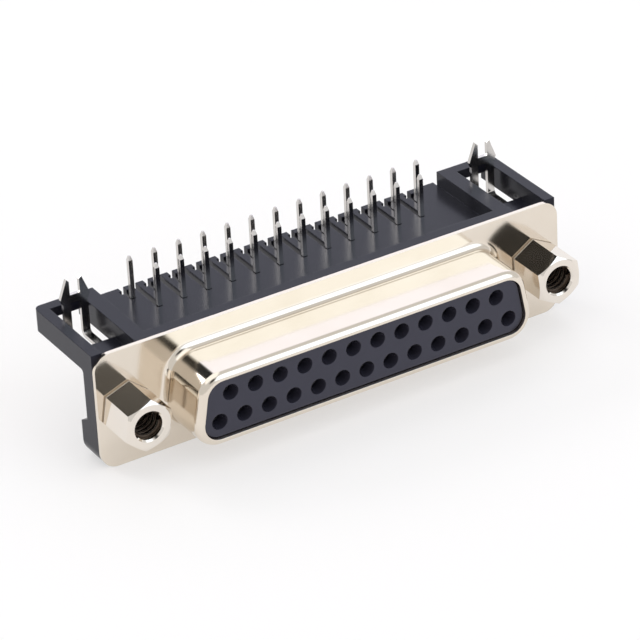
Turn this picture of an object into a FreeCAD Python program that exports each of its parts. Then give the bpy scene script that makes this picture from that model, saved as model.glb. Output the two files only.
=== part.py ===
import FreeCAD, Part
import math
import os

# Right-angle 25-way socket connector of the D-subminiature kind, in millimetres.
# X runs along the connector, +Y points behind the flange and +Z towards the circuit board.
# y = 0 is the front face of the flange and z = 0 its lower edge, on which the part stands.

Vec = FreeCAD.Vector

# Contact grid of shell size B
LONG_ROW = 13
SHORT_ROW = 12
PITCH = 2.76
ROW_GAP = 2.84

# Drawn steel shell
COLLAR_MARGIN = 2.63
COLLAR_H = 7.9
COLLAR_LEAN = 10.0
COLLAR_CORNER_R = 2.6
COLLAR_DEPTH = 6.17
SCREW_MARGIN = 4.33
SCREW_HOLE_D = 3.1
FLANGE_MARGIN = 3.0
FLANGE_H = 12.55
FLANGE_CORNER_R = 1.8
SHEET = 0.45
DRAW_R = 0.8
RIM_R = 0.8

# Socket insulator
SHELL_FIT = 0.08
FACE_RECESS = 0.37
FACE_CHAMFER = 0.42
SEAT_MARGIN = 0.95
SEAT_R = 1.2
SEAT_T = 1.0
BLOCK_INSET = 0.2
BLOCK_R = 1.0
BLOCK_T = 2.95
MOUTH_D = 1.7
MOUTH_T = 1.2
ENTRY_D = 1.15
ENTRY_T = 0.3
CAVITY_D = 1.75

# Socket contacts
BARREL_FIT = 0.05
PIN_BORE_D = 1.05
PIN_BORE_T = 4.6
SLIT_W = 0.22
SLIT_T = 3.2
SHOULDER_END = 3.6
TAIL_W = 0.45
TAIL_BEND_R = 0.7
TAIL_LENGTH = 3.15
TAIL_TAPER = 0.45
TAIL_TIP_W = 0.2
NEAR_ROW_Y = 7.56

# Moulded bracket
LEG_T = 1.95
FOOT_T = 3.2
FOOT_TOP = 4.0
FOOT_SLOPE = 0.65
EAR_T = 2.4
EAR_BEHIND_TAILS = 1.65
PLATE_BEHIND_TAILS = 2.4
EAR_CORNER_R = 0.7
LEG_INNER_R = 0.4
BAND_T = 1.3
PLATE_DROP = 1.55
POCKET_SIDE_CLEAR = 0.5
STRAP_CLEAR = 0.2
POCKET_FLOOR_T = 0.8
POCKET_FLOOR_REACH = 4.9
INNER_RIB_W = 1.67
REAR_BAR_T = 1.25
REAR_BAR_H = 1.05
TAIL_CLEAR = 0.05
NOTCH_W = 1.2
NOTCH_BEHIND_TAIL = 1.1
NOTCH_L = 0.55
NOTCH_T = 0.4
INSULATOR_FIT = 0.1

# Sheet-metal board lock
LOCK_T = 0.4
LOCK_BEND_R = 0.4
LOCK_STRAP_W = 2.7
LOCK_BELOW_EAR = 0.2
NUT_PLATE_W = 5.0
NUT_PLATE_BELOW_AXIS = 2.85
NUT_PLATE_ABOVE_AXIS = 2.7
NUT_COLLAR_D = 4.0
NUT_COLLAR_T = 1.5
NUT_FIT = 0.1
FORK_BASE = 0.65
FORK_BAR_LOW = 1.1
FORK_BAR_HIGH = 2.0
FORK_BARB = 1.7
FORK_TIP = 3.75
FORK_GAP = 1.1
FORK_BARB_OUT = 0.25
FORK_TIP_W = 0.26
STRAP_WINDOW_Y = 5.0

# Hexagonal threaded spacer, number 4 unified coarse thread
HEX_AF = 4.75
HEX_LENGTH = 4.7
HEX_RING_D = 4.6
HEX_CROWN_SLOPE = 30.0
HEX_FOOT_BEVEL = 0.12
THREAD_D = 2.84
THREAD_FIT = 0.05
HEX_BORE_T = 4.2
HEX_MOUTH_D = 3.3
STUD_LENGTH = 3.9
STUD_CHAMFER = 0.35
HEX_TURN_LEFT = 20.0
HEX_TURN_RIGHT = 32.0

# Places that follow from the sizes above
COLLAR_W = (LONG_ROW - 1) * PITCH + 2 * COLLAR_MARGIN
SCREW_X = COLLAR_W / 2 + SCREW_MARGIN
FLANGE_W = 2 * (SCREW_X + FLANGE_MARGIN)
AXIS_Z = FLANGE_H / 2
SEAT_W = COLLAR_W + 2 * SEAT_MARGIN
SEAT_H = COLLAR_H + 2 * SEAT_MARGIN
BLOCK_W = COLLAR_W - 2 * BLOCK_INSET
BLOCK_H = COLLAR_H - 2 * BLOCK_INSET
BLOCK_FRONT = SHEET + SEAT_T
BLOCK_REAR = BLOCK_FRONT + BLOCK_T
BARREL_D = CAVITY_D - 2 * BARREL_FIT
FACE_DEPTH = COLLAR_DEPTH - FACE_RECESS
CAVITY_FRONT = -FACE_DEPTH + MOUTH_T + ENTRY_T
BARREL_FRONT = CAVITY_FRONT + BARREL_FIT
FAR_ROW_Y = NEAR_ROW_Y + ROW_GAP
LOCK_Y = NEAR_ROW_Y + ROW_GAP / 2
LEG_REAR = SHEET + LEG_T
FOOT_REAR = SHEET + FOOT_T
EAR_LOW = FLANGE_H - EAR_T
EAR_REAR_Y = FAR_ROW_Y + EAR_BEHIND_TAILS
PLATE_TOP = FLANGE_H - PLATE_DROP
PLATE_REAR_Y = FAR_ROW_Y + PLATE_BEHIND_TAILS
BAND_REAR = SHEET + BAND_T
POCKET_W = LOCK_STRAP_W + 2 * POCKET_SIDE_CLEAR
POCKET_REAR_Y = EAR_REAR_Y - REAR_BAR_T
PLATE_HALF_W = SCREW_X - POCKET_W / 2 - INNER_RIB_W
TAIL_SLOT_W = TAIL_W + 2 * TAIL_CLEAR
LOCK_TOP_Z = EAR_LOW - LOCK_BELOW_EAR
POCKET_LOW_Z = LOCK_TOP_Z - LOCK_T - STRAP_CLEAR
NUT_PLATE_LOW_Z = AXIS_Z - NUT_PLATE_BELOW_AXIS
NUT_PLATE_HIGH_Z = AXIS_Z + NUT_PLATE_ABOVE_AXIS
FORK_BASE_Z = LOCK_TOP_Z + FORK_BASE
TAPPED_D = THREAD_D + 2 * THREAD_FIT
NEAR = 0.001


def xz_outline(width, height, corner_r, lean_deg, y):
    """Closed wire about the shell axis in a plane of constant y, its wide side down."""
    lean = math.radians(lean_deg)
    low = AXIS_Z - height / 2
    sharp = width / 2 + corner_r * (1 + math.sin(lean) - math.cos(lean)) / math.cos(lean)
    low_x = sharp - corner_r * (1 + math.sin(lean)) / math.cos(lean)
    high_x = sharp - (corner_r + (height - corner_r) * math.sin(lean)) / math.cos(lean)
    low_z = low + corner_r
    high_z = low + height - corner_r
    corners = [
        (low_x, low_z, -90, lean_deg),
        (high_x, high_z, lean_deg, 90),
        (-high_x, high_z, 90, 180 - lean_deg),
        (-low_x, low_z, 180 - lean_deg, 270),
    ]
    arcs = []
    for cx, cz, start, end in corners:
        points = []
        for degrees in (start, (start + end) / 2, end):
            turn = math.radians(degrees)
            points.append(Vec(cx + corner_r * math.cos(turn), y, cz + corner_r * math.sin(turn)))
        arcs.append(points)
    edges = []
    for index, points in enumerate(arcs):
        edges.append(Part.Arc(*points).toShape())
        edges.append(Part.makeLine(points[2], arcs[(index + 1) % 4][0]))
    return Part.Wire(edges)


def xz_prism(width, height, corner_r, lean_deg, y_front, y_rear):
    """Solid of an outline about the shell axis between two planes of constant y."""
    wire = xz_outline(width, height, corner_r, lean_deg, y_front)
    return Part.Face(wire).extrude(Vec(0, y_rear - y_front, 0))


def collar_prism(inset, y_front, y_rear):
    """Solid of the D-shaped collar outline moved inwards by inset."""
    return xz_prism(COLLAR_W - 2 * inset, COLLAR_H - 2 * inset, COLLAR_CORNER_R - inset,
                    COLLAR_LEAN, y_front, y_rear)


def box(x0, x1, y0, y1, z0, z1):
    """Box between two corners."""
    return Part.makeBox(x1 - x0, y1 - y0, z1 - z0, Vec(x0, y0, z0))


def y_cylinder(diameter, x, z, y0, y1):
    """Cylinder along Y."""
    return Part.makeCylinder(diameter / 2, y1 - y0, Vec(x, y0, z), Vec(0, 1, 0))


def turned(profile, x, z):
    """Solid turned about the Y axis through (x, z) from (radius, y) points."""
    points = [Vec(x + radius, y, z) for radius, y in profile]
    points.append(points[0])
    face = Part.Face(Part.makePolygon(points))
    return face.revolve(Vec(x, 0, z), Vec(0, 1, 0), 360)


def square_frustum(x, y, z0, w0, z1, w1):
    """Solid between two horizontal squares."""
    rings = []
    for z, w in ((z0, w0), (z1, w1)):
        half = w / 2
        corners = [Vec(x - half, y - half, z), Vec(x + half, y - half, z),
                   Vec(x + half, y + half, z), Vec(x - half, y + half, z)]
        rings.append(Part.makePolygon(corners + corners[:1]))
    return Part.makeLoft(rings, True, True)


def edges_within(shape, x, y, z):
    """Edges whose bounds lie inside the given (low, high) ranges, with a small allowance."""
    found = []
    for edge in shape.Edges:
        limits = edge.BoundBox
        spans = (
            (limits.XMin, limits.XMax, x),
            (limits.YMin, limits.YMax, y),
            (limits.ZMin, limits.ZMax, z),
        )
        if all(low > span[0] - NEAR and high < span[1] + NEAR for low, high, span in spans):
            found.append(edge)
    return found


def collar_edges(shape, inset, y):
    """Edges of the collar outline, moved inwards by inset, in the plane of constant y."""
    half_w = COLLAR_W / 2 - inset
    half_h = COLLAR_H / 2 - inset
    return edges_within(shape, (-half_w, half_w), (y, y), (AXIS_Z - half_h, AXIS_Z + half_h))


def contact_sites():
    """Place of each contact: x, height of its axis and y of its solder tail."""
    sites = []
    for count, z, tail_y in ((LONG_ROW, AXIS_Z - ROW_GAP / 2, FAR_ROW_Y),
                             (SHORT_ROW, AXIS_Z + ROW_GAP / 2, NEAR_ROW_Y)):
        for index in range(count):
            x = (index - (count - 1) / 2) * PITCH
            sites.append((x, z, tail_y))
    return sites


def drawn_form(inset, front, back, junction_r, nose_r, slab):
    """Collar raised from a slab, with its draw radius and its rounded nose."""
    form = slab.fuse(collar_prism(inset, front, back)).removeSplitter()
    form = form.makeFillet(junction_r, collar_edges(form, inset, back))
    return form.makeFillet(nose_r, collar_edges(form, inset, front))


def make_front_shell():
    """Flange and collar drawn from one sheet, its rim curled in over the insulator."""
    slab = xz_prism(FLANGE_W, FLANGE_H, FLANGE_CORNER_R, 0, 0, SHEET)
    outside = drawn_form(0, -COLLAR_DEPTH, 0, DRAW_R, RIM_R, slab)
    behind = box(-FLANGE_W, FLANGE_W, SHEET, 4 * SHEET, -FLANGE_H, 2 * FLANGE_H)
    inside = drawn_form(SHEET, SHEET - COLLAR_DEPTH, SHEET, DRAW_R + SHEET, RIM_R - SHEET, behind)
    opening = collar_prism(RIM_R, -2 * COLLAR_DEPTH, 0)
    shell = outside.cut(inside).cut(opening)
    for side in (-1, 1):
        shell = shell.cut(y_cylinder(SCREW_HOLE_D, side * SCREW_X, AXIS_Z, -SHEET, 2 * SHEET))
    return shell


def make_socket_insulator():
    """Moulded body with a countersunk, stepped cavity for every contact."""
    body = collar_prism(SHEET + SHELL_FIT, -FACE_DEPTH, SHEET)
    body = body.makeChamfer(FACE_CHAMFER, collar_edges(body, SHEET + SHELL_FIT, -FACE_DEPTH))
    seat = xz_prism(SEAT_W, SEAT_H, SEAT_R, 0, SHEET, BLOCK_FRONT)
    block = xz_prism(BLOCK_W, BLOCK_H, BLOCK_R, 0, BLOCK_FRONT, BLOCK_REAR)
    body = body.fuse([seat, block]).removeSplitter()
    mouth_back = -FACE_DEPTH + MOUTH_T
    profile = [
        (0, -FACE_DEPTH),
        (MOUTH_D / 2, -FACE_DEPTH),
        (ENTRY_D / 2, mouth_back),
        (ENTRY_D / 2, CAVITY_FRONT),
        (CAVITY_D / 2, CAVITY_FRONT),
        (CAVITY_D / 2, BLOCK_REAR),
        (0, BLOCK_REAR),
    ]
    cavities = [turned(profile, x, z) for x, z, tail_y in contact_sites()]
    return body.cut(cavities)


def make_contact(x, z, tail_y):
    """Slit socket barrel with a square tail that turns up to the circuit board."""
    half = TAIL_W / 2
    barrel = y_cylinder(BARREL_D, x, z, BARREL_FRONT, SHOULDER_END)
    bore = y_cylinder(PIN_BORE_D, x, z, BARREL_FRONT, BARREL_FRONT + PIN_BORE_T)
    slit = box(x - BARREL_D, x + BARREL_D, BARREL_FRONT, BARREL_FRONT + SLIT_T,
               z - SLIT_W / 2, z + SLIT_W / 2)
    run_end = tail_y - TAIL_BEND_R
    run = box(x - half, x + half, SHOULDER_END, run_end, z - half, z + half)
    corners = [Vec(x - half, run_end, z - half), Vec(x + half, run_end, z - half),
               Vec(x + half, run_end, z + half), Vec(x - half, run_end, z + half)]
    section = Part.Face(Part.makePolygon(corners + corners[:1]))
    bend = section.revolve(Vec(x, run_end, z + TAIL_BEND_R), Vec(1, 0, 0), 90)
    taper_z = FLANGE_H + TAIL_LENGTH - TAIL_TAPER
    riser = box(x - half, x + half, tail_y - half, tail_y + half, z + TAIL_BEND_R, taper_z)
    tip = square_frustum(x, tail_y, taper_z, TAIL_W, taper_z + TAIL_TAPER, TAIL_TIP_W)
    return barrel.cut([bore, slit]).fuse([run, bend, riser, tip]).removeSplitter()


def make_board_bracket():
    """Angle moulding behind the flange: leg, foot, ears and the plate that spaces the tails."""
    side = [
        (SHEET, 0),
        (FOOT_REAR, 0),
        (FOOT_REAR, FOOT_TOP),
        (LEG_REAR, FOOT_TOP + FOOT_SLOPE),
        (LEG_REAR, EAR_LOW),
        (EAR_REAR_Y, EAR_LOW),
        (EAR_REAR_Y, FLANGE_H),
        (SHEET, FLANGE_H),
    ]
    half_w = FLANGE_W / 2
    points = [Vec(-half_w, y, z) for y, z in side]
    body = Part.Face(Part.makePolygon(points + points[:1])).extrude(Vec(FLANGE_W, 0, 0))

    # Lower corners like the flange, rear corners of the ears and the inside of the angle
    width = (-half_w, half_w)
    rear = (EAR_REAR_Y, EAR_REAR_Y)
    low_edges = []
    for x in width:
        low_edges += edges_within(body, (x, x), (SHEET, FOOT_REAR), (0, 0))
    body = body.makeFillet(FLANGE_CORNER_R, low_edges)
    rear_edges = []
    for x in width:
        rear_edges += edges_within(body, (x, x), rear, (EAR_LOW, FLANGE_H))
    upright = [edge for edge in rear_edges if edge.BoundBox.ZLength > EAR_T / 2]
    body = body.makeFillet(EAR_CORNER_R, upright)
    inner = edges_within(body, width, (LEG_REAR, LEG_REAR), (EAR_LOW, EAR_LOW))
    body = body.makeFillet(LEG_INNER_R, inner)

    # Lower plate between the ears, behind a full-height band at the flange
    body = body.cut(box(-PLATE_HALF_W, PLATE_HALF_W, BAND_REAR, 2 * EAR_REAR_Y,
                        PLATE_TOP, 2 * FLANGE_H))
    body = body.fuse(box(-PLATE_HALF_W, PLATE_HALF_W, LEG_REAR, PLATE_REAR_Y,
                         EAR_LOW, PLATE_TOP)).removeSplitter()

    # Stepped window for the insulator
    cuts = [
        xz_prism(SEAT_W + 2 * INSULATOR_FIT, SEAT_H + 2 * INSULATOR_FIT,
                 SEAT_R + INSULATOR_FIT, 0, SHEET, BLOCK_FRONT),
        xz_prism(BLOCK_W + 2 * INSULATOR_FIT, BLOCK_H + 2 * INSULATOR_FIT,
                 BLOCK_R + INSULATOR_FIT, 0, 0, EAR_REAR_Y),
    ]

    # Pocket for each board lock: a slot for its strap, a floor above the strap near the flange,
    # and an opening that the fork rises through, closed behind by a bar
    floor_top = EAR_LOW + POCKET_FLOOR_T
    for mirror in (-1, 1):
        x = mirror * SCREW_X
        x0 = x - POCKET_W / 2
        x1 = x + POCKET_W / 2
        cuts.append(box(x0, x1, SHEET, POCKET_REAR_Y, POCKET_LOW_Z, EAR_LOW))
        cuts.append(box(x0, x1, SHEET, POCKET_REAR_Y, floor_top, 2 * FLANGE_H))
        cuts.append(box(x0, x1, POCKET_FLOOR_REACH, POCKET_REAR_Y, EAR_LOW, floor_top))
        cuts.append(box(x0, x1, POCKET_REAR_Y, 2 * EAR_REAR_Y, 0, FLANGE_H - REAR_BAR_H))
        plate_half = NUT_PLATE_W / 2 + NUT_FIT
        cuts.append(box(x - plate_half, x + plate_half, SHEET, SHEET + LOCK_T + NUT_FIT,
                        NUT_PLATE_LOW_Z - NUT_FIT, NUT_PLATE_HIGH_Z + NUT_FIT))
        cuts.append(box(x0, x1, SHEET, SHEET + LOCK_T + NUT_FIT, AXIS_Z, EAR_LOW))
        cuts.append(y_cylinder(NUT_COLLAR_D + 2 * NUT_FIT, x, AXIS_Z, SHEET, EAR_REAR_Y))

    # Slots that the tails enter from behind, with a shallow notch across those of the far row
    for x, z, tail_y in contact_sites():
        half = TAIL_SLOT_W / 2
        cuts.append(box(x - half, x + half, tail_y - half, 2 * PLATE_REAR_Y, 0, 2 * PLATE_TOP))
        if tail_y == FAR_ROW_Y:
            notch_y = tail_y + NOTCH_BEHIND_TAIL
            cuts.append(box(x - NOTCH_W / 2, x + NOTCH_W / 2, notch_y, notch_y + NOTCH_L,
                            PLATE_TOP - NOTCH_T, PLATE_TOP))
    return body.cut(cuts)


def yz_arc(centre, radius, start, end, x):
    """Arc in a plane of constant x, angles in degrees from +Y towards +Z."""
    points = []
    for degrees in (start, (start + end) / 2, end):
        turn = math.radians(degrees)
        points.append(Vec(x, centre[0] + radius * math.cos(turn),
                          centre[1] + radius * math.sin(turn)))
    return points


def make_board_lock(side):
    """Tapped plate behind the flange, split strap under the ear and a barbed fork into the board."""
    axis_x = side * SCREW_X
    x0 = axis_x - LOCK_STRAP_W / 2
    outer_r = LOCK_BEND_R + LOCK_T
    low_bend = (SHEET + outer_r, LOCK_TOP_Z - outer_r)
    fork_front = LOCK_Y - LOCK_T / 2
    high_bend = (fork_front - LOCK_BEND_R, LOCK_TOP_Z + LOCK_BEND_R)
    front = SHEET
    arcs = [
        yz_arc(low_bend, outer_r, 180, 90, x0),
        yz_arc(high_bend, LOCK_BEND_R, 270, 360, x0),
        yz_arc(high_bend, outer_r, 360, 270, x0),
        yz_arc(low_bend, LOCK_BEND_R, 90, 180, x0),
    ]
    first = Vec(x0, front, AXIS_Z)
    top_front = Vec(x0, fork_front, FORK_BASE_Z)
    top_rear = Vec(x0, fork_front + LOCK_T, FORK_BASE_Z)
    last = Vec(x0, front + LOCK_T, AXIS_Z)
    edges = [
        Part.makeLine(first, arcs[0][0]),
        Part.Arc(*arcs[0]).toShape(),
        Part.makeLine(arcs[0][2], arcs[1][0]),
        Part.Arc(*arcs[1]).toShape(),
        Part.makeLine(arcs[1][2], top_front),
        Part.makeLine(top_front, top_rear),
        Part.makeLine(top_rear, arcs[2][0]),
        Part.Arc(*arcs[2]).toShape(),
        Part.makeLine(arcs[2][2], arcs[3][0]),
        Part.Arc(*arcs[3]).toShape(),
        Part.makeLine(arcs[3][2], last),
        Part.makeLine(last, first),
    ]
    strap = Part.Face(Part.Wire(edges)).extrude(Vec(LOCK_STRAP_W, 0, 0))
    half_plate = NUT_PLATE_W / 2
    plate = box(axis_x - half_plate, axis_x + half_plate, front, front + LOCK_T,
                NUT_PLATE_LOW_Z, NUT_PLATE_HIGH_Z)
    collar_end = front + LOCK_T + NUT_COLLAR_T
    collar = y_cylinder(NUT_COLLAR_D, axis_x, AXIS_Z, front, collar_end)
    bore = y_cylinder(TAPPED_D, axis_x, AXIS_Z, front, collar_end)
    fork = make_fork(axis_x, fork_front)
    window = box(axis_x - FORK_GAP / 2, axis_x + FORK_GAP / 2, STRAP_WINDOW_Y, LOCK_Y + LOCK_T,
                 0, FLANGE_H + FORK_BAR_LOW)
    return strap.fuse([plate, collar, fork]).cut([bore, window]).removeSplitter()


def make_fork(axis_x, fork_front):
    """Two barbed prongs joined by a bar above the board."""
    half_strap = LOCK_STRAP_W / 2
    half_gap = FORK_GAP / 2
    bar_low = FLANGE_H + FORK_BAR_LOW
    bar_high = FLANGE_H + FORK_BAR_HIGH
    barb_z = FLANGE_H + FORK_BARB
    tip_z = FLANGE_H + FORK_TIP
    right = [
        (half_strap, FORK_BASE_Z),
        (half_strap, bar_low),
        (half_strap + FORK_BARB_OUT, barb_z),
        (half_gap + FORK_TIP_W, tip_z),
        (half_gap, tip_z - FORK_TIP_W),
        (half_gap, bar_high),
    ]
    left = [(-x, z) for x, z in reversed(right)]
    points = [Vec(axis_x + x, fork_front, z) for x, z in right + left]
    return Part.Face(Part.makePolygon(points + points[:1])).extrude(Vec(0, LOCK_T, 0))


def make_hex_standoff(side, turn):
    """Hexagonal spacer with a chamfered, tapped front and a threaded stud behind."""
    axis_x = side * SCREW_X
    corner_r = HEX_AF / 2 / math.cos(math.pi / 6)
    corners = []
    for index in range(6):
        angle = math.radians(turn + 60 * index)
        corners.append(Vec(axis_x + corner_r * math.cos(angle), -HEX_LENGTH,
                           AXIS_Z + corner_r * math.sin(angle)))
    prism = Part.Face(Part.makePolygon(corners + corners[:1])).extrude(Vec(0, HEX_LENGTH, 0))
    foot_edges = edges_within(prism, (-FLANGE_W, FLANGE_W), (0, 0), (0, FLANGE_H))
    prism = prism.makeChamfer(HEX_FOOT_BEVEL, foot_edges)
    edge_drop = (corner_r - HEX_RING_D / 2) * math.tan(math.radians(HEX_CROWN_SLOPE))
    dome = turned([
        (0, -HEX_LENGTH),
        (HEX_RING_D / 2, -HEX_LENGTH),
        (corner_r, -HEX_LENGTH + edge_drop),
        (corner_r, 0),
        (0, 0),
    ], axis_x, AXIS_Z)
    body = prism.common(dome)
    stud = turned([
        (0, 0),
        (THREAD_D / 2, 0),
        (THREAD_D / 2, STUD_LENGTH - STUD_CHAMFER),
        (THREAD_D / 2 - STUD_CHAMFER, STUD_LENGTH),
        (0, STUD_LENGTH),
    ], axis_x, AXIS_Z)
    bore = turned([
        (0, -HEX_LENGTH),
        (HEX_MOUTH_D / 2, -HEX_LENGTH),
        (TAPPED_D / 2, -HEX_LENGTH + (HEX_MOUTH_D - TAPPED_D) / 2),
        (TAPPED_D / 2, -HEX_LENGTH + HEX_BORE_T),
        (0, -HEX_LENGTH + HEX_BORE_T),
    ], axis_x, AXIS_Z)
    return body.fuse(stud).cut(bore).removeSplitter()


def build():
    """All pieces by node name."""
    pieces = {
        "front_shell": make_front_shell(),
        "socket_insulator": make_socket_insulator(),
        "board_bracket": make_board_bracket(),
    }
    for number, (x, z, tail_y) in enumerate(contact_sites(), start=1):
        pieces["contact_%02d" % number] = make_contact(x, z, tail_y)
    pieces["board_lock_left"] = make_board_lock(-1)
    pieces["board_lock_right"] = make_board_lock(1)
    pieces["hex_standoff_left"] = make_hex_standoff(-1, HEX_TURN_LEFT)
    pieces["hex_standoff_right"] = make_hex_standoff(1, HEX_TURN_RIGHT)
    return pieces


def main():
    os.makedirs("parts", exist_ok=True)
    for name, shape in build().items():
        if shape.ShapeType == "Compound" and len(shape.Solids) == 1:
            shape = shape.Solids[0]
        print(name, shape.isValid(), len(shape.Solids), round(shape.Volume, 3))
        shape.exportStep("parts/%s.step" % name)


main()
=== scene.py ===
"""Right-angle socket connector for a circuit board: finishes, screw threads and a studio stage."""

import math

import bpy
from mathutils import Matrix, Vector


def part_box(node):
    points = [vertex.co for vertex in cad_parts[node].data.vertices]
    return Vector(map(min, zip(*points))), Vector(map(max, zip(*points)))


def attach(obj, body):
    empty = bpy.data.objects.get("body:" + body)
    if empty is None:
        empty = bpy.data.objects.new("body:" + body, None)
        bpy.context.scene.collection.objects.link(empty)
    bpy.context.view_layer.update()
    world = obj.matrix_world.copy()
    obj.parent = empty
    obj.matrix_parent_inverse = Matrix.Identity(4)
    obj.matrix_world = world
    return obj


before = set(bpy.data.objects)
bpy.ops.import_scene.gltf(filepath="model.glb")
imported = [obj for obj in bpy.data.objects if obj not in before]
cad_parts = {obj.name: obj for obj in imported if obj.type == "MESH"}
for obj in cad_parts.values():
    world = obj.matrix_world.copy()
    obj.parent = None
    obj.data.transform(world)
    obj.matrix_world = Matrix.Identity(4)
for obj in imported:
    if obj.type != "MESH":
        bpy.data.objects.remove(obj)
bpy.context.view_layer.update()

bl_info = {
    "name": "Right-Angle Socket Connector",
    "version": (1, 0, 0),
    "blender": (4, 5, 0),
    "location": "View3D > Sidebar > Connector",
    "description": "Finishes the plated metal, the mouldings and the screw threads of a board connector",
    "category": "Object",
}

MM = 0.001
SIDES = ("left", "right")
CONTACTS = sorted(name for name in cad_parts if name.startswith("contact_"))
WHITE = (1.0, 1.0, 1.0, 1.0)

# Number 4-40 unified thread, in millimetres, and a ridge's half width as a share of the pitch
THREAD_CORE_D = 2.3
THREAD_WALL_D = 2.96
# Depth out from the crests over which a ridge's colour turns to the painted shade of its valleys, in
# millimetres
THREAD_SHADE_FADE = 0.12
THREAD_HALF_WIDTH = 0.49
THREAD_TURNS = 5
THREAD_STEPS = 40
MERGE_DISTANCE = 0.001

# Matt band at a standoff's foot, and where the thread of its stud begins, in millimetres
FOOT_BAND = 0.24
STUD_START = 0.1

# Patterns: size in millimetres and number of octaves
STEEL_CLOUD = (6.0, 3.0)
STEEL_LINES = (0.15, 2.0)
PLASTIC_FLOW = (5.0, 4.0)
PLASTIC_GRAIN = (0.12, 2.0)
CONTACT_FLOW = (0.9, 3.0)
LOCK_FLOW = (1.6, 3.0)
BRASS_CLOUD = (2.5, 3.0)
TAPPED_GRAIN = (0.2, 2.0)

# Drawing lines are long across the sheet, because their pattern is squeezed that way
STEEL_STRETCH = (1.0, 0.06, 1.0)

# Roughness of the smoothest and of the dullest spots
STEEL_POLISH = (0.09, 0.16)
PLASTIC_POLISH = (0.18, 0.28)
TIN_POLISH = (0.1, 0.22)
BRASS_POLISH = (0.06, 0.13)
TAPPED_POLISH = (0.28, 0.45)

# Relief: strength, and depth in millimetres
STEEL_RELIEF = (0.08, 0.01)
PLASTIC_RELIEF = (0.12, 0.01)
TIN_RELIEF = (0.15, 0.02)
STUD_RELIEF = (1.0, 0.5)

# Radii that sharp edges seem to have, in millimetres
STEEL_EDGE = 0.08
PLASTIC_EDGE = 0.1
EDGE_SAMPLES = 6

# Gloss of the mouldings, which gives them their slate look
INSULATOR_IOR = 1.5
BRACKET_IOR = 1.3
GLOSS_TINT = "#EBECFF"

# Viewing position of the photograph: angles in degrees, distances in millimetres
VIEW_AZIMUTH = -30.34
VIEW_ELEVATION = 30.31
VIEW_ROLL = -2.95
VIEW_DISTANCE = 385.2
VIEW_TARGET = (0.0, 0.0, 6.3)
FRAME_CENTRE = (-0.55, 1.8, 7.0)

# Studio, in metres: what the camera can see, the floor, and the softbox above
CLIP_START = 0.01
CLIP_END = 20.0
FLOOR_SIZE = 6.0
FLOOR_ROUGHNESS = 0.9
FLOOR_GLOW = 0.5
SOFTBOX_SIZE = 1.1
SOFTBOX_PLACE = (-0.25, 0.05, 0.95)

# Panels around the part: direction from it, angles in degrees within which a panel is full and
# beyond which it ends, colour, and brightness against the floor's
STUDIO_PANELS = {
    "backdrop": ((0.44, 0.745, 0.5), 24.0, 36.0, "#F3F4FF", 1.42),
    "front_card": ((0.46, -0.74, 0.48), 20.0, 30.0, "#E8F3FF", 1.98),
    "side_card": ((-0.48, 0.73, 0.49), 6.0, 11.0, "#FFFFFF", 8.0),
    "unlit_gap_behind": ((-0.13, 0.745, 0.655), 12.0, 17.0, "#FFFFFF", 0.02),
    "unlit_gap_ahead": ((-0.17, -0.74, 0.655), 4.0, 18.0, "#FFFFFF", 0.02),
}


def linear(code):
    """Linear colour with full alpha from an sRGB hex code."""
    channels = []
    for start in (1, 3, 5):
        value = int(code[start:start + 2], 16) / 255
        channels.append(value / 12.92 if value <= 0.04045 else ((value + 0.055) / 1.055) ** 2.4)
    return (*channels, 1.0)


def add(tree, kind, settings=None, inputs=None):
    """Adds a node, sets its fields, and feeds each input from a value or from (node, output)."""
    node = tree.nodes.new(kind)
    for field, value in (settings or {}).items():
        setattr(node, field, value)
    for socket, value in (inputs or {}).items():
        if isinstance(value, tuple) and isinstance(value[0], bpy.types.Node):
            tree.links.new(value[0].outputs[value[1]], node.inputs[socket])
        else:
            node.inputs[socket].default_value = value
    return node


def new_material(name):
    """Empty node material and its tree."""
    material = bpy.data.materials.new(name)
    material.use_nodes = True
    material.node_tree.nodes.clear()
    return material, material.node_tree


def shade(tree, inputs):
    """Principled shader at the end of a material's tree."""
    shader = add(tree, "ShaderNodeBsdfPrincipled", None, inputs)
    add(tree, "ShaderNodeOutputMaterial", None, {"Surface": (shader, "BSDF")})


def noise(tree, vector, pattern):
    """Noise of a pattern's size and octaves."""
    size_mm, octaves = pattern
    return add(tree, "ShaderNodeTexNoise", None, {
        "Vector": vector, "Scale": 1.0 / (size_mm * MM), "Detail": octaves})


def blend(tree, factor, first, second):
    """Colour between two hex codes."""
    return add(tree, "ShaderNodeMix", {"data_type": "RGBA"}, {
        "Factor": factor, "A": linear(first), "B": linear(second)})


def spread(tree, value, limits):
    """Value from 0 to 1 stretched between two limits."""
    low, high = limits
    return add(tree, "ShaderNodeMapRange", None, {"Value": value, "To Min": low, "To Max": high})


def relief(tree, height, shape):
    """Bump of a relief's strength and depth."""
    strength, depth_mm = shape
    return add(tree, "ShaderNodeBump", None, {
        "Height": height, "Strength": strength, "Distance": depth_mm * MM})


def soften_edges(tree, bump, radius_mm):
    """Rolls a bump's normal over sharp edges, so that they catch a line of light."""
    edge = add(tree, "ShaderNodeBevel", {"samples": EDGE_SAMPLES}, {"Radius": radius_mm * MM})
    tree.links.new(edge.outputs["Normal"], bump.inputs["Normal"])


def from_axis(tree, place, axis_x):
    """Object coordinates measured from a standoff's axis, which lies at the shell's mid height."""
    low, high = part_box("front_shell")
    return add(tree, "ShaderNodeMapping", {"vector_type": "POINT"}, {
        "Vector": (place, "Object"), "Location": (-axis_x, 0.0, -(low.z + high.z) / 2)})


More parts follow.
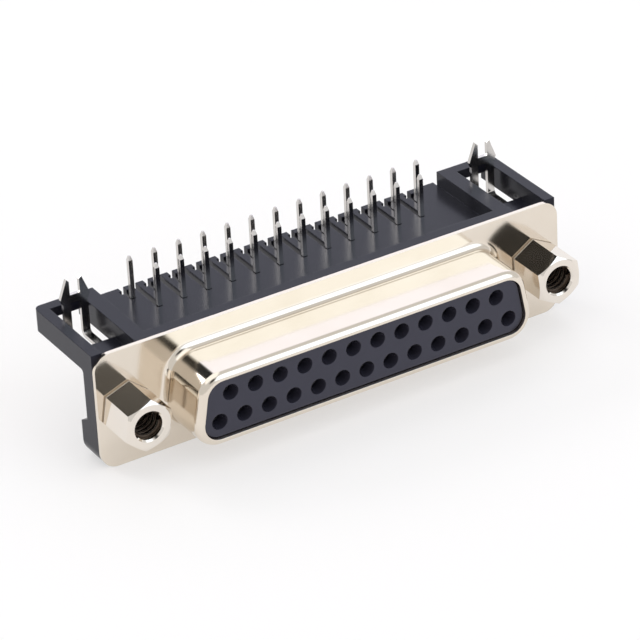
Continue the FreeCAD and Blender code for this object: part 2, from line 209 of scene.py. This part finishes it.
def nickel_plated_steel(colours):
    """Nickel over cold-drawn steel sheet: warm champagne, nearly a mirror, faintly drawn."""
    material, tree = new_material("nickel_plated_steel")
    place = add(tree, "ShaderNodeTexCoord")
    cloud = noise(tree, (place, "Object"), STEEL_CLOUD)
    tone = blend(tree, (cloud, "Fac"), colours.nickel_light, colours.nickel_deep)
    # Drawing lines run the way the punch pulled the sheet
    stretch = add(tree, "ShaderNodeMapping", None, {
        "Vector": (place, "Object"), "Scale": STEEL_STRETCH})
    lines = noise(tree, (stretch, "Vector"), STEEL_LINES)
    dull = spread(tree, (lines, "Fac"), STEEL_POLISH)
    bump = relief(tree, (lines, "Fac"), STEEL_RELIEF)
    soften_edges(tree, bump, STEEL_EDGE)
    shade(tree, {
        "Base Color": (tone, "Result"), "Metallic": 1.0,
        "Roughness": (dull, "Result"), "Normal": (bump, "Normal")})
    return material


def glass_filled_pbt(name, dark, light, ior):
    """Moulded glass-filled polyester: nearly black, its slate look comes from a soft gloss."""
    material, tree = new_material(name)
    place = add(tree, "ShaderNodeTexCoord")
    flow = noise(tree, (place, "Object"), PLASTIC_FLOW)
    tone = blend(tree, (flow, "Fac"), dark, light)
    # The grain is that of the glass fibres under the skin
    grain = noise(tree, (place, "Object"), PLASTIC_GRAIN)
    dull = spread(tree, (grain, "Fac"), PLASTIC_POLISH)
    bump = relief(tree, (grain, "Fac"), PLASTIC_RELIEF)
    soften_edges(tree, bump, PLASTIC_EDGE)
    shade(tree, {
        "Base Color": (tone, "Result"), "IOR": ior, "Specular Tint": linear(GLOSS_TINT),
        "Roughness": (dull, "Result"), "Normal": (bump, "Normal")})
    return material


def tin_plated_copper(colours, name, pattern):
    """Bright tin over stamped copper alloy: pale, with a soft uneven flow of the plating."""
    material, tree = new_material(name)
    place = add(tree, "ShaderNodeTexCoord")
    flow = noise(tree, (place, "Object"), pattern)
    tone = blend(tree, (flow, "Fac"), colours.tin_light, colours.tin_warm)
    dull = spread(tree, (flow, "Fac"), TIN_POLISH)
    bump = relief(tree, (flow, "Fac"), TIN_RELIEF)
    shade(tree, {
        "Base Color": (tone, "Result"), "Metallic": 1.0,
        "Roughness": (dull, "Result"), "Normal": (bump, "Normal")})
    return material


def tapped_brass(colours, name, axis_x):
    """Tapped brass, fairly rough, with painted shade: dark towards the valleys and pale at the crests.
    """
    material, tree = new_material(name)
    place = add(tree, "ShaderNodeTexCoord")
    centred = from_axis(tree, place, axis_x)
    across = add(tree, "ShaderNodeVectorMath", {"operation": "MULTIPLY"}, {
        0: (centred, "Vector"), 1: (1.0, 0.0, 1.0)})
    radius = add(tree, "ShaderNodeVectorMath", {"operation": "LENGTH"}, {
        0: (across, "Vector")})
    # Painted shade: from the crest out towards the bore wall, the ridge turns to a dark colour
    painted_shade_mask = add(tree, "ShaderNodeMapRange", {"interpolation_type": "SMOOTHSTEP"}, {
        "Value": (radius, "Value"), "From Min": THREAD_CORE_D / 2 * MM,
        "From Max": (THREAD_CORE_D / 2 + THREAD_SHADE_FADE) * MM})
    tone = blend(tree, (painted_shade_mask, "Result"), colours.nickel_light, colours.valley_shade_colour)
    grain = noise(tree, (place, "Object"), TAPPED_GRAIN)
    dull = spread(tree, (grain, "Fac"), TAPPED_POLISH)
    shade(tree, {
        "Base Color": (tone, "Result"), "Metallic": 1.0, "Roughness": (dull, "Result")})
    return material


def nickel_plated_brass(colours, name, axis_x, pitch):
    """Nickel over turned brass: bright and smooth, with a matt foot and a thread on the stud."""
    material, tree = new_material(name)
    place = add(tree, "ShaderNodeTexCoord")
    centred = from_axis(tree, place, axis_x)
    cloud = noise(tree, (place, "Object"), BRASS_CLOUD)
    tone = blend(tree, (cloud, "Fac"), colours.nickel_bright, colours.nickel_light)
    parts = add(tree, "ShaderNodeSeparateXYZ", None, {"Vector": (centred, "Vector")})
    # The foot is left matt with its bevel, so it shows as a pale line against the flange
    foot = add(tree, "ShaderNodeMath", {"operation": "COMPARE"}, {
        0: (parts, "Y"), 1: -FOOT_BAND / 2 * MM, 2: FOOT_BAND / 2 * MM})
    polish = spread(tree, (cloud, "Fac"), BRASS_POLISH)
    dull = add(tree, "ShaderNodeMath", {"operation": "MAXIMUM"}, {
        0: (polish, "Result"), 1: (foot, "Value")})
    # The stud's thread is a helix: height along the axis plus a turn's share of the pitch
    upright = add(tree, "ShaderNodeMapping", {"vector_type": "POINT"}, {
        "Vector": (centred, "Vector"), "Rotation": (math.pi / 2, 0.0, 0.0)})
    turn = add(tree, "ShaderNodeTexGradient", {"gradient_type": "RADIAL"}, {
        "Vector": (upright, "Vector")})
    along = add(tree, "ShaderNodeMath", {"operation": "DIVIDE"}, {
        0: (parts, "Y"), 1: pitch})
    helix = add(tree, "ShaderNodeMath", {"operation": "ADD"}, {
        0: (along, "Value"), 1: (turn, "Fac")})
    ridge = add(tree, "ShaderNodeMath", {"operation": "PINGPONG"}, {
        0: (helix, "Value"), 1: 0.5})
    behind = add(tree, "ShaderNodeMath", {"operation": "GREATER_THAN"}, {
        0: (parts, "Y"), 1: STUD_START * MM})
    thread = add(tree, "ShaderNodeMath", {"operation": "MULTIPLY"}, {
        0: (ridge, "Value"), 1: (behind, "Value")})
    bump = relief(tree, (thread, "Value"), STUD_RELIEF)
    shade(tree, {
        "Base Color": (tone, "Result"), "Metallic": 1.0,
        "Roughness": (dull, "Value"), "Normal": (bump, "Normal")})
    return material


def matt_white_paper(colour):
    """Seamless paper: flat and pale, lit from below to the eye, which softens the shadow."""
    material, tree = new_material("matt_white_paper")
    paper = add(tree, "ShaderNodeBsdfPrincipled", None, {
        "Base Color": linear(colour), "Roughness": FLOOR_ROUGHNESS})
    glow = add(tree, "ShaderNodeEmission", None, {"Color": WHITE, "Strength": 1.0})
    # Only the camera and mirrors see the glow, so it lights nothing
    rays = add(tree, "ShaderNodeLightPath")
    direct = add(tree, "ShaderNodeMath", {"operation": "MAXIMUM"}, {
        0: (rays, "Is Camera Ray"), 1: (rays, "Is Glossy Ray")})
    share = add(tree, "ShaderNodeMath", {"operation": "MULTIPLY"}, {
        0: (direct, "Value"), 1: FLOOR_GLOW})
    surface = add(tree, "ShaderNodeMixShader", None, {
        0: (share, "Value"), 1: (paper, "BSDF"), 2: (glow, "Emission")})
    add(tree, "ShaderNodeOutputMaterial", None, {"Surface": (surface, "Shader")})
    return material


def dress(name, material):
    """Gives a CAD node its finish."""
    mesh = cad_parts[name].data
    mesh.materials.clear()
    mesh.materials.append(material)


def deselect_all():
    """Leaves edit mode and clears the selection."""
    if bpy.context.object and bpy.context.object.mode != "OBJECT":
        bpy.ops.object.mode_set(mode="OBJECT")
    bpy.ops.object.select_all(action="DESELECT")


def rename_new(name):
    """Names the object that was just added, and its data."""
    made = bpy.context.object
    made.name = name
    made.data.name = name
    return made


class ConnectorSizes(bpy.types.PropertyGroup):
    """Sizes of the details that are added to the frame."""

    thread_pitch: bpy.props.FloatProperty(
        name="Thread pitch", description="Distance between neighbouring thread ridges",
        default=0.635 * MM, unit="LENGTH", precision=6)
    thread_start: bpy.props.FloatProperty(
        name="Thread start", description="Depth of the first ridge below the standoff's face",
        default=0.42 * MM, unit="LENGTH", precision=6)


class ConnectorColours(bpy.types.PropertyGroup):
    """Colours of the finishes as sRGB hex codes."""

    nickel_light: bpy.props.StringProperty(
        name="Nickel, light", description="Paler tone of the plated shell", default="#ECE3D7")
    nickel_deep: bpy.props.StringProperty(
        name="Nickel, deep", description="Deeper tone of the plated shell", default="#DFD4C4")
    nickel_bright: bpy.props.StringProperty(
        name="Nickel, bright", description="Plating of the standoffs", default="#E5DFD7")
    # Painted shade for the valleys of the tapped threads
    valley_shade_colour: bpy.props.StringProperty(
        name="Brass, dull", description="Valleys of the tapped threads", default="#4A4038")
    plastic_dark: bpy.props.StringProperty(
        name="Plastic, dark", description="Darker tone of the bracket", default="#18181F")
    plastic_light: bpy.props.StringProperty(
        name="Plastic, light", description="Lighter tone of the bracket", default="#1D1D25")
    face_dark: bpy.props.StringProperty(
        name="Socket face, dark", description="Darker tone of the insulator", default="#2C2B34")
    face_light: bpy.props.StringProperty(
        name="Socket face, light", description="Lighter tone of the insulator", default="#33323C")
    tin_light: bpy.props.StringProperty(
        name="Tin, light", description="Paler tone of the tails and locks", default="#D8D6D4")
    tin_warm: bpy.props.StringProperty(
        name="Tin, warm", description="Warmer tone of the tails and locks", default="#C6C1BC")
    floor: bpy.props.StringProperty(
        name="Floor", description="Colour of the studio floor", default="#FBF7F5")


class ConnectorStage(bpy.types.PropertyGroup):
    """Studio around the connector."""

    lens: bpy.props.FloatProperty(
        name="Lens", description="Focal length of the camera in millimetres", default=221.0)
    world_level: bpy.props.FloatProperty(
        name="World level", description="Brightness of the studio around the part", default=0.75)
    key_power: bpy.props.FloatProperty(
        name="Key power", description="Power of the softbox above the part",
        default=2.2, unit="POWER")


class CONNECTOR_OT_plate_metal(bpy.types.Operator):
    """Plates the shell, the contacts, the board locks and the standoffs"""

    bl_idname = "connector.plate_metal"
    bl_label = "Plate Metal"

    def execute(self, context):
        colours = context.scene.connector_colours
        pitch = context.scene.connector_sizes.thread_pitch
        dress("front_shell", nickel_plated_steel(colours))
        tails = tin_plated_copper(colours, "tin_plated_contact", CONTACT_FLOW)
        for name in CONTACTS:
            dress(name, tails)
        locks = tin_plated_copper(colours, "tin_plated_lock", LOCK_FLOW)
        for side in SIDES:
            dress("board_lock_" + side, locks)
            node = "hex_standoff_" + side
            low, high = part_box(node)
            dress(node, nickel_plated_brass(
                colours, "nickel_plated_brass_" + side, (low.x + high.x) / 2, pitch))
        return {"FINISHED"}


class CONNECTOR_OT_mould_plastic(bpy.types.Operator):
    """Gives the insulator and the bracket their moulded finish"""

    bl_idname = "connector.mould_plastic"
    bl_label = "Mould Plastic"

    def execute(self, context):
        colours = context.scene.connector_colours
        dress("socket_insulator", glass_filled_pbt(
            "insulator_pbt", colours.face_dark, colours.face_light, INSULATOR_IOR))
        dress("board_bracket", glass_filled_pbt(
            "bracket_pbt", colours.plastic_dark, colours.plastic_light, BRACKET_IOR))
        return {"FINISHED"}


class CONNECTOR_OT_tap_standoffs(bpy.types.Operator):
    """Turns the thread ridges inside both standoffs"""

    bl_idname = "connector.tap_standoffs"
    bl_label = "Tap Standoffs"

    def execute(self, context):
        sizes = context.scene.connector_sizes
        colours = context.scene.connector_colours
        for side in SIDES:
            low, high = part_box("hex_standoff_" + side)
            axis_x = (low.x + high.x) / 2
            ridge = self.add_thread(side, sizes, (axis_x, low.y, (low.z + high.z) / 2))
            ridge.data.materials.append(tapped_brass(colours, "tapped_brass_" + side, axis_x))
            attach(ridge, "root")
        return {"FINISHED"}

    def add_thread(self, side, sizes, mouth):
        """One helical ridge of triangular section, from the bore wall to the core diameter."""
        pitch = sizes.thread_pitch
        core_r = THREAD_CORE_D / 2 * MM
        wall_r = THREAD_WALL_D / 2 * MM
        reach = THREAD_HALF_WIDTH * pitch
        deselect_all()
        bpy.ops.mesh.primitive_circle_add(vertices=3, radius=pitch)
        ridge = rename_new("jack_thread_" + side)
        profile = ((wall_r, -reach), (core_r, 0.0), (wall_r, reach))
        for vertex, (radius, along) in zip(ridge.data.vertices, profile):
            vertex.co = (radius, 0.0, along)
        bpy.ops.object.modifier_add(type="SCREW")
        screw = ridge.modifiers[-1]
        screw.axis = "Z"
        screw.angle = 2 * math.pi
        screw.screw_offset = pitch
        screw.iterations = THREAD_TURNS
        screw.steps = THREAD_STEPS
        screw.render_steps = THREAD_STEPS
        screw.use_merge_vertices = True
        bpy.ops.object.modifier_apply(modifier=screw.name)
        into_bore = Vector((0.0, sizes.thread_start + pitch / 2, 0.0))
        place = Matrix.Translation(Vector(mouth) + into_bore)
        place @= Matrix.Rotation(-math.pi / 2, 4, "X")
        ridge.data.transform(place)
        bpy.ops.object.mode_set(mode="EDIT")
        bpy.ops.mesh.select_all(action="SELECT")
        bpy.ops.mesh.remove_doubles(threshold=MERGE_DISTANCE * MM)
        bpy.ops.mesh.fill_holes(sides=3)
        bpy.ops.mesh.normals_make_consistent(inside=False)
        bpy.ops.object.mode_set(mode="OBJECT")
        return ridge


class CONNECTOR_OT_set_stage(bpy.types.Operator):
    """Builds the pale floor, the soft lights and the camera"""

    bl_idname = "connector.set_stage"
    bl_label = "Set Stage"

    def execute(self, context):
        scene = context.scene
        stage = scene.connector_stage
        self.add_floor(scene.connector_colours.floor)
        self.add_softbox(stage.key_power)
        self.set_world(scene, stage.world_level)
        self.add_camera(scene, stage.lens)
        scene.view_settings.view_transform = "Standard"
        return {"FINISHED"}

    def add_floor(self, colour):
        """Pale seamless floor under the flange's lower edge."""
        deselect_all()
        bpy.ops.mesh.primitive_plane_add(size=FLOOR_SIZE, location=(0.0, 0.0, 0.0))
        floor = rename_new("studio_floor")
        floor.data.materials.append(matt_white_paper(colour))

    def add_softbox(self, power):
        """Square softbox above the connector that faces it."""
        deselect_all()
        bpy.ops.object.light_add(type="AREA", location=SOFTBOX_PLACE)
        lamp = rename_new("key_softbox")
        lamp.data.size = SOFTBOX_SIZE
        lamp.data.energy = power
        aim = Vector(FRAME_CENTRE) * MM - Vector(SOFTBOX_PLACE)
        lamp.rotation_euler = aim.to_track_quat("-Z", "Y").to_euler()

    def set_world(self, scene, grey):
        """Grey studio with panels and unlit gaps, on a background that is seen white."""
        world = bpy.data.worlds.new("studio")
        world.use_nodes = True
        tree = world.node_tree
        tree.nodes.clear()
        place = add(tree, "ShaderNodeTexCoord")
        mixed = (grey, grey, grey, 1.0)
        for direction, full, end, colour, brightness in STUDIO_PANELS.values():
            toward = add(tree, "ShaderNodeVectorMath", {"operation": "DOT_PRODUCT"}, {
                0: (place, "Generated"), 1: Vector(direction).normalized()})
            share = add(tree, "ShaderNodeMapRange", {"interpolation_type": "SMOOTHSTEP"}, {
                "Value": (toward, "Value"), "From Min": math.cos(math.radians(end)),
                "From Max": math.cos(math.radians(full))})
            panel = add(tree, "ShaderNodeMix", {"data_type": "RGBA"}, {
                "Factor": (share, "Result"), "A": mixed,
                "B": tuple(channel * brightness for channel in linear(colour))})
            mixed = (panel, "Result")
        light = add(tree, "ShaderNodeBackground", None, {"Color": mixed, "Strength": 1.0})
        white = add(tree, "ShaderNodeBackground", None, {"Color": WHITE, "Strength": 1.0})
        rays = add(tree, "ShaderNodeLightPath")
        seen = add(tree, "ShaderNodeMixShader", None, {
            0: (rays, "Is Camera Ray"), 1: (light, "Background"), 2: (white, "Background")})
        add(tree, "ShaderNodeOutputWorld", None, {"Surface": (seen, "Shader")})
        scene.world = world

    def add_camera(self, scene, lens):
        """Camera at the photograph's place, with the connector filling the frame."""
        azimuth, elevation, roll = (
            math.radians(angle) for angle in (VIEW_AZIMUTH, VIEW_ELEVATION, VIEW_ROLL))
        back = Vector((math.sin(azimuth) * math.cos(elevation),
                       -math.cos(azimuth) * math.cos(elevation), math.sin(elevation)))
        level = Vector((math.cos(azimuth), math.sin(azimuth), 0.0))
        upward = back.cross(level)
        right = math.cos(roll) * level + math.sin(roll) * upward
        eye = (Vector(VIEW_TARGET) + back * VIEW_DISTANCE) * MM
        back = (eye - Vector(FRAME_CENTRE) * MM).normalized()
        right = (right - right.dot(back) * back).normalized()
        upward = back.cross(right)
        bpy.ops.object.camera_add(location=eye)
        camera = bpy.context.object
        camera.name = "photo_camera"
        turn = Matrix((right, upward, back)).transposed()
        camera.matrix_world = Matrix.Translation(eye) @ turn.to_4x4()
        camera.data.lens = lens
        camera.data.clip_start = CLIP_START
        camera.data.clip_end = CLIP_END
        scene.camera = camera


class CONNECTOR_PT_panel(bpy.types.Panel):
    """Lists the connector's steps, sizes and colours"""

    bl_idname = "CONNECTOR_PT_panel"
    bl_label = "Board Connector"
    bl_space_type = "VIEW_3D"
    bl_region_type = "UI"
    bl_category = "Connector"

    def draw(self, context):
        layout = self.layout
        for step in STEPS:
            layout.operator(step.bl_idname)
        for name in GROUPS:
            group = getattr(context.scene, name)
            column = layout.column()
            for key in group.__annotations__:
                column.prop(group, key)


GROUPS = {
    "connector_sizes": ConnectorSizes,
    "connector_colours": ConnectorColours,
    "connector_stage": ConnectorStage,
}
STEPS = (
    CONNECTOR_OT_plate_metal,
    CONNECTOR_OT_mould_plastic,
    CONNECTOR_OT_tap_standoffs,
    CONNECTOR_OT_set_stage,
)


def register():
    """Registers the classes and hangs the settings on the scene."""
    for kind in (*GROUPS.values(), *STEPS, CONNECTOR_PT_panel):
        bpy.utils.register_class(kind)
    for name, kind in GROUPS.items():
        setattr(bpy.types.Scene, name, bpy.props.PointerProperty(type=kind))


def unregister():
    """Takes the settings and the classes away again."""
    for name in GROUPS:
        delattr(bpy.types.Scene, name)
    for kind in (CONNECTOR_PT_panel, *reversed(STEPS), *reversed(GROUPS.values())):
        bpy.utils.unregister_class(kind)


def main():
    """Runs every step."""
    register()
    bpy.ops.connector.plate_metal()
    bpy.ops.connector.mould_plastic()
    bpy.ops.connector.tap_standoffs()
    bpy.ops.connector.set_stage()


if __name__ == "__main__":
    main()
